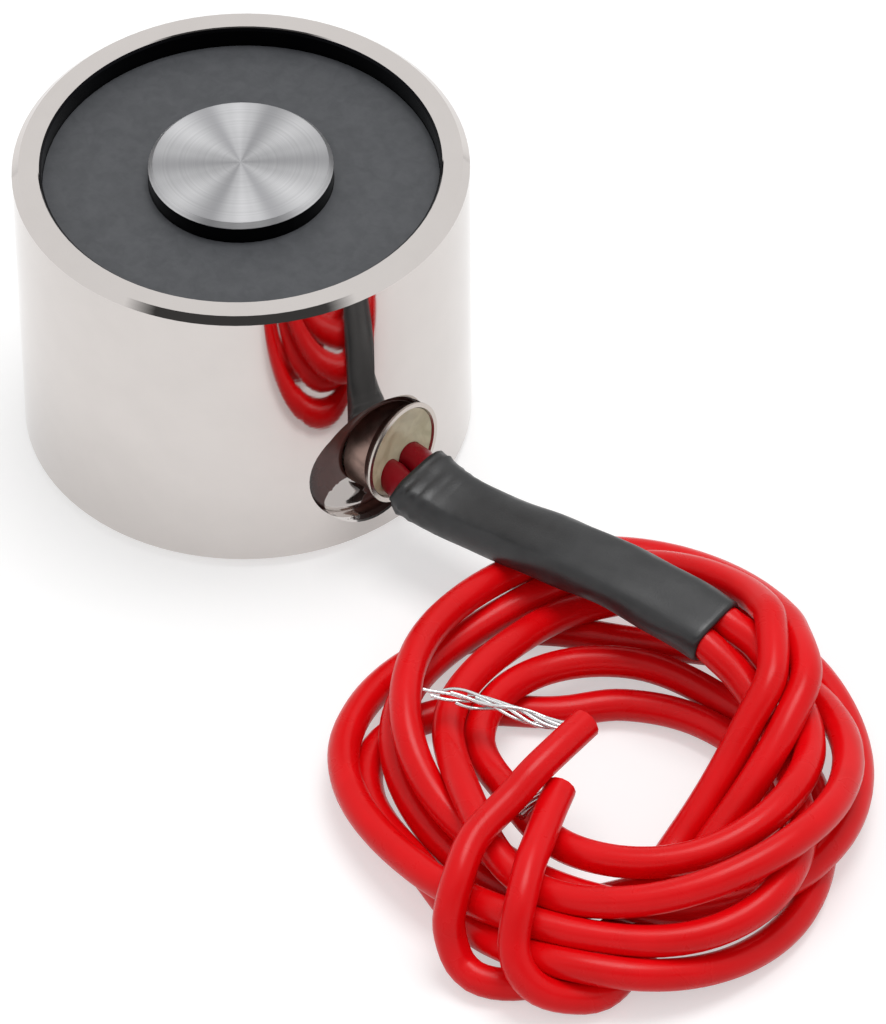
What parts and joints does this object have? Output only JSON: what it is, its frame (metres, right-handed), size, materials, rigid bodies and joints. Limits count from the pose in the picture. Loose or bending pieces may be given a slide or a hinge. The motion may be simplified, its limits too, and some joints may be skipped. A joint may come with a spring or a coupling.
{
  "type": "holding electromagnet",
  "caption": "Round holding electromagnet: plated steel pot, bare core, coil potted in resin, and a side exit for its sleeved, coiled leads with stripped ends.",
  "frame": {"origin": "middle of the pot's back face, on the pot's axis", "axes": "+Z along the pot's axis, out of the working face; +X out through the middle of the lead exit hole"},
  "size_m": [0.0496, 0.0234, 0.015],
  "materials": {
    "nickel_plate": "bright nickel plate",
    "turned_steel": "fine turned face",
    "potting_resin": "matte cast resin",
    "bobbin_nylon": "moulded nylon",
    "enamelled_copper": "enamelled copper wire",
    "coil_tape": "polyester tape",
    "solder": "dull solder",
    "splice_tubing": "glass-fibre tubing",
    "bush_metal": "thin formed metal",
    "sealant": "cream sealant",
    "shrink_sleeve": "satin shrunk polyolefin",
    "lead_insulation": "satin red insulation",
    "tinned_strands": "tinned copper strands"
  },
  "bodies": {
    "root": {"pot": "nickel_plate", "core": "turned_steel", "bobbin": "bobbin_nylon", "winding": "enamelled_copper", "winding_tape": "coil_tape", "potting_resin": "potting_resin", "start_wire": "enamelled_copper", "finish_wire": "enamelled_copper", "splice_a": "solder", "splice_b": "solder", "splice_tube_a": "splice_tubing", "splice_tube_b": "splice_tubing", "exit_bush": "bush_metal", "exit_sealant": "sealant", "heat_shrink_sleeve": "shrink_sleeve", "lead_a": "lead_insulation", "lead_b": "lead_insulation", "lead_coil": "lead_insulation", "lead_a_tail": "lead_insulation", "lead_b_tail": "lead_insulation", "lead_a_strands": "tinned_strands", "lead_b_strands": "tinned_strands"}
  },
  "joints": []
}
